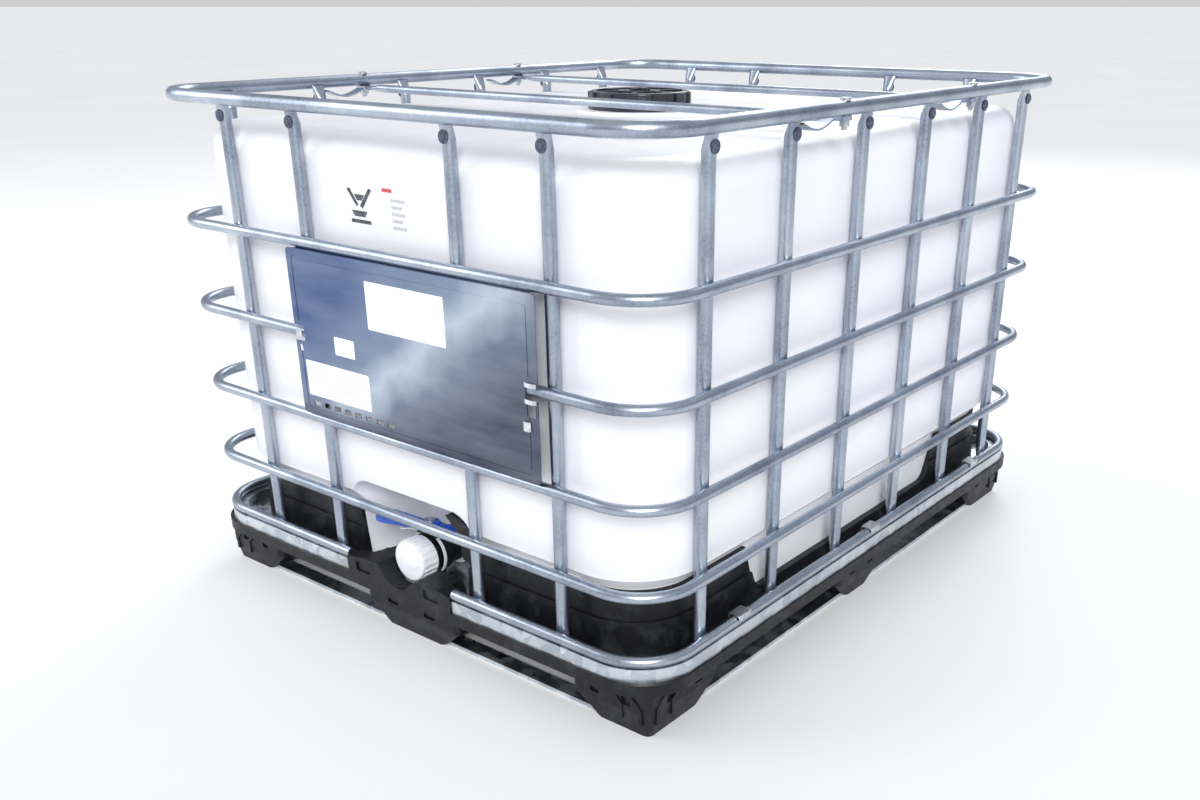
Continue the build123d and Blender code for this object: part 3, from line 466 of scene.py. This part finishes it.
def strip(bm, points, wide, thick, across):
    """Flat strip of given width and thickness along points; across is its width direction."""
    across = Vector(across)
    rows = []
    for k, point in enumerate(points):
        ahead = Vector(points[min(k + 1, len(points) - 1)]) - Vector(points[max(k - 1, 0)])
        up = ahead.normalized().cross(across).normalized() * thick / 2
        side = across * wide / 2
        rows.append([bm.verts.new(Vector(point) + d) for d in (side + up, -side + up, -side - up, side - up)])
    for low, high in zip(rows, rows[1:]):
        for k in range(4):
            n = (k + 1) % 4
            bm.faces.new([low[k], low[n], high[n], high[k]])
    bm.faces.new(rows[0][::-1])
    bm.faces.new(rows[-1])
    bmesh.ops.recalc_face_normals(bm, faces=bm.faces)


def crossbar_straps():
    """Curved strap under the rim in front of each crossbar end."""
    bm = bmesh.new()
    for y in CROSSBARS:
        for side in (-1, 1):
            path = []
            for k in range(13):
                t = k / 12
                ahead = 0.020 + STRAP_LENGTH * (1 - t)
                path.append((side * STRAP_X, y - ahead, STRAP_TOP - STRAP_SAG * math.sin(t * math.pi)))
            strip(bm, path, 0.018, 0.0028, (1, 0, 0))
    new_piece("crossbar_straps", bm, MATERIALS["tube_galvanised"], smooth=False)


crossbar_straps()


def plate_fittings():
    """Spring clips that hold the sign plate to its ring at both edges."""
    bm = bmesh.new()
    face = PLATE_LOW.y
    for x, z, wide, high in (
        (PLATE_HIGH.x - 0.012, 0.452, 0.020, 0.006),
        (PLATE_HIGH.x - 0.012, 0.474, 0.020, 0.006),
        (PLATE_HIGH.x - 0.020, 0.418, 0.013, 0.013),
        (PLATE_LOW.x + 0.010, 0.466, 0.012, 0.010),
    ):
        path = [(x - wide / 2, face - 0.0004, z), (x - wide / 4, face - 0.0022, z)]
        path += [(x + wide / 4, face - 0.0022, z), (x + wide / 2, face - 0.0004, z)]
        strip(bm, path, high, 0.0012, (0, 0, 1))
    new_piece("plate_clips", bm, BRIGHT_STEEL, smooth=False)


plate_fittings()


def valve_tie():
    """White tie looped round the barrel of the valve, open at the top."""
    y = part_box("valve_body")[1].y - 0.064
    bm = bmesh.new()
    path = []
    for k in range(25):
        angle = math.radians(112 + 316 * k / 24)
        path.append((TIE_RADIUS * math.cos(angle), y, VALVE_AXIS_Z + TIE_RADIUS * math.sin(angle)))
    strip(bm, path, TIE_WIDTH, TIE_THICK, (0, 1, 0))
    # loose end, pointing up and to the left
    tail = [
        (-0.016, y, VALVE_AXIS_Z + 0.031),
        (-0.030, y - 0.006, VALVE_AXIS_Z + 0.036),
        (-0.046, y - 0.016, VALVE_AXIS_Z + 0.034),
    ]
    strip(bm, tail, TIE_WIDTH, TIE_THICK, (0, 1, 0))
    new_piece("valve_tie", bm, MATERIALS["valve_white"], smooth=False)


valve_tie()


def foot_ribs():
    """Y-shaped strengthening ribs on the outer faces of the four corner feet."""
    bm = bmesh.new()
    for sx in (-1, 1):
        for sy in (-1, 1):
            low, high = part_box("corner_foot_" + ("front" if sy < 0 else "rear") + ("_left" if sx < 0 else "_right"))
            face_x = high.x if sx > 0 else low.x
            face_y = high.y if sy > 0 else low.y
            for start in (0.016, 0.050):
                ends = ((start + 0.024, 0.064), (start, 0.042), (start, 0.020))
                strip(bm, [(face_x, face_y - sy * d, z) for d, z in ends], 0.004, 0.006, (1, 0, 0))
                strip(bm, [(face_x - sx * d, face_y, z) for d, z in ends], 0.004, 0.006, (0, 1, 0))
    new_piece("foot_ribs", bm, MATERIALS["pallet_black"], smooth=False)


foot_ribs()


# ---- floor, light, camera ------------------------------------------------------------
def studio():
    """Plain pale floor under a bright sky, one soft sun and two broad lamps."""
    floor_mesh = bpy.data.meshes.new("floor")
    corners = [(sx * FLOOR_REACH, sy * FLOOR_REACH, 0) for sx, sy in ((-1, -1), (1, -1), (1, 1), (-1, 1))]
    floor_mesh.from_pydata(corners, [], [(0, 1, 2, 3)])
    floor = bpy.data.objects.new("floor", floor_mesh)
    bpy.context.scene.collection.objects.link(floor)
    m = Shade("floor_paint", Roughness=0.8)
    m.set(Base_Color=m.ramp(m.noise(0.8), (0.3, 0.80), (0.7, 0.83)))
    floor_mesh.materials.append(m.mat)

    world = bpy.data.worlds.new("studio")
    bpy.context.scene.world = world
    world.use_nodes = True
    tree = world.node_tree
    back = tree.nodes["Background"]
    coords = tree.nodes.new("ShaderNodeTexCoord")
    split = tree.nodes.new("ShaderNodeSeparateXYZ")
    ramp = tree.nodes.new("ShaderNodeValToRGB")
    tree.links.new(coords.outputs["Generated"], split.inputs[0])
    tree.links.new(split.outputs[2], ramp.inputs[0])
    tree.links.new(ramp.outputs[0], back.inputs[0])
    stops = ramp.color_ramp.elements
    stops[0].position, stops[0].color = 0.0, (1.0, 1.0, 1.0, 1)
    stops[1].position, stops[1].color = 1.0, (1.0, 1.0, 1.0, 1)
    stops.new(0.06).color = (1.0, 1.0, 1.0, 1)
    stops.new(0.15).color = (0.30, 0.35, 0.46, 1)
    stops.new(0.45).color = (0.86, 0.91, 1.0, 1)
    back.inputs[1].default_value = 0.62

    sun = bpy.data.lights.new("key", "SUN")
    sun.angle = math.radians(28.0)
    sun.energy = 2.8
    sun_lamp = bpy.data.objects.new("key", sun)
    bpy.context.scene.collection.objects.link(sun_lamp)
    sun_lamp.rotation_euler = Vector((-0.58, 0.62, -0.53)).to_track_quat("-Z", "Y").to_euler()

    for name, place, size, power in (
        ("fill", (-4.0, -3.2, 2.6), 3.0, 80.0),
        ("back", (-1.5, 4.4, 3.6), 3.0, 110.0),
    ):
        light = bpy.data.lights.new(name, "AREA")
        light.size = size
        light.energy = power
        lamp = bpy.data.objects.new(name, light)
        bpy.context.scene.collection.objects.link(lamp)
        lamp.location = place
        lamp.rotation_euler = (Vector((0, 0, 0.4)) - Vector(place)).to_track_quat("-Z", "Y").to_euler()


def camera():
    """View of the valve end and the right side, from a little above the rim."""
    yaw, pitch = math.radians(CAMERA_YAW), math.radians(CAMERA_PITCH)
    back = Vector((math.sin(yaw) * math.cos(pitch), -math.cos(yaw) * math.cos(pitch), math.sin(pitch)))
    data = bpy.data.cameras.new("camera")
    data.sensor_width = 36.0
    data.lens = LENS_MM
    data.shift_x = SHIFT_X
    data.shift_y = SHIFT_Y
    data.clip_start, data.clip_end = 0.05, 200.0
    cam = bpy.data.objects.new("camera", data)
    bpy.context.scene.collection.objects.link(cam)
    cam.location = CAMERA_AT
    cam.rotation_mode = "QUATERNION"
    cam.rotation_quaternion = back.to_track_quat("Z", "Y")
    bpy.context.scene.camera = cam


studio()
camera()
bpy.context.scene.view_settings.view_transform = "Standard"
